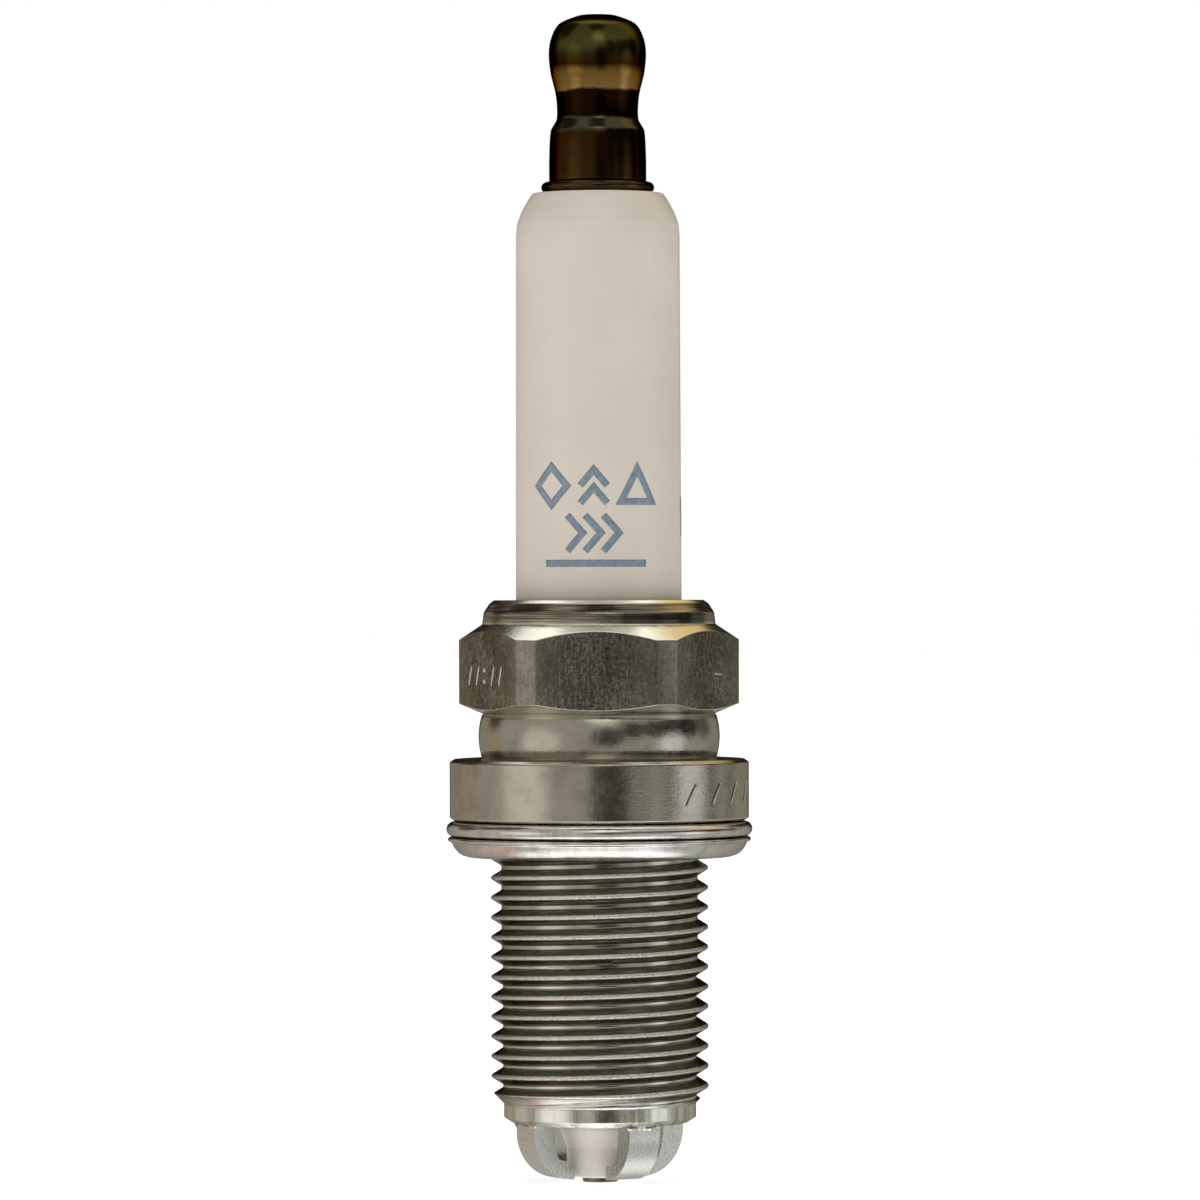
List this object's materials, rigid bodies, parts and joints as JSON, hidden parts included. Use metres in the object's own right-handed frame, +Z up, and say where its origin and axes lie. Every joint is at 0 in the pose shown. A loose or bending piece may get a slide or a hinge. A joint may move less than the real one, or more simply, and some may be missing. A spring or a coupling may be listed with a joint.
{
  "type": "spark plug",
  "caption": "Threaded ignition plug with a hexagon, a smooth ceramic insulator, a waisted terminal nut, a crush gasket and side electrodes round the nose.",
  "frame": {"origin": "on the plug's axis, in the plane of the shell's seat, which is the underside of the round flange", "axes": "+Z up the axis towards the terminal, the firing end is at -Z, and -Y is the outward normal of one flat of the hexagon"},
  "size_m": [0.0194, 0.0194, 0.0737],
  "materials": {
    "plated_steel": "zinc-nickel plated, satin",
    "gasket_steel": "bright plated sheet",
    "glazed_ceramic": "clear glaze over ivory alumina, bare nose",
    "dark_terminal": "dark, polished",
    "terminal_steel": "dark, polished",
    "seal_glass": "fused copper glass, matt",
    "resistor_carbon": "fused carbon glass, matt",
    "nickel_alloy": "bright drawn nickel alloy",
    "copper": "drawn copper",
    "steel_wire": "plain steel wire",
    "talc": "pressed talc powder"
  },
  "bodies": {
    "plug": {"shell": "plated_steel", "insulator": "glazed_ceramic", "terminal_stud": "terminal_steel", "upper_glass_seal": "seal_glass", "resistor": "resistor_carbon", "lower_glass_seal": "seal_glass", "centre_electrode": "nickel_alloy", "copper_core": "copper", "seat_washer": "steel_wire", "lower_packing_ring": "steel_wire", "talc_fill": "talc", "upper_packing_ring": "steel_wire", "ground_electrode_1": "nickel_alloy", "ground_electrode_2": "nickel_alloy", "ground_electrode_3": "nickel_alloy", "ground_electrode_4": "nickel_alloy"},
    "gasket": {"gasket": "gasket_steel"},
    "terminal_nut": {"terminal_nut": "dark_terminal"}
  },
  "joints": [
    {"name": "gasket_spin", "type": "hinge", "parent": "plug", "child": "gasket", "pos_m": [0, 0, -0.0012], "axis": [0, 0, 1], "continuous": true},
    {"name": "terminal_nut_off", "type": "slide", "parent": "plug", "child": "terminal_nut", "axis": [0, 0, 1], "range_m": [0, 0.01]}
  ]
}
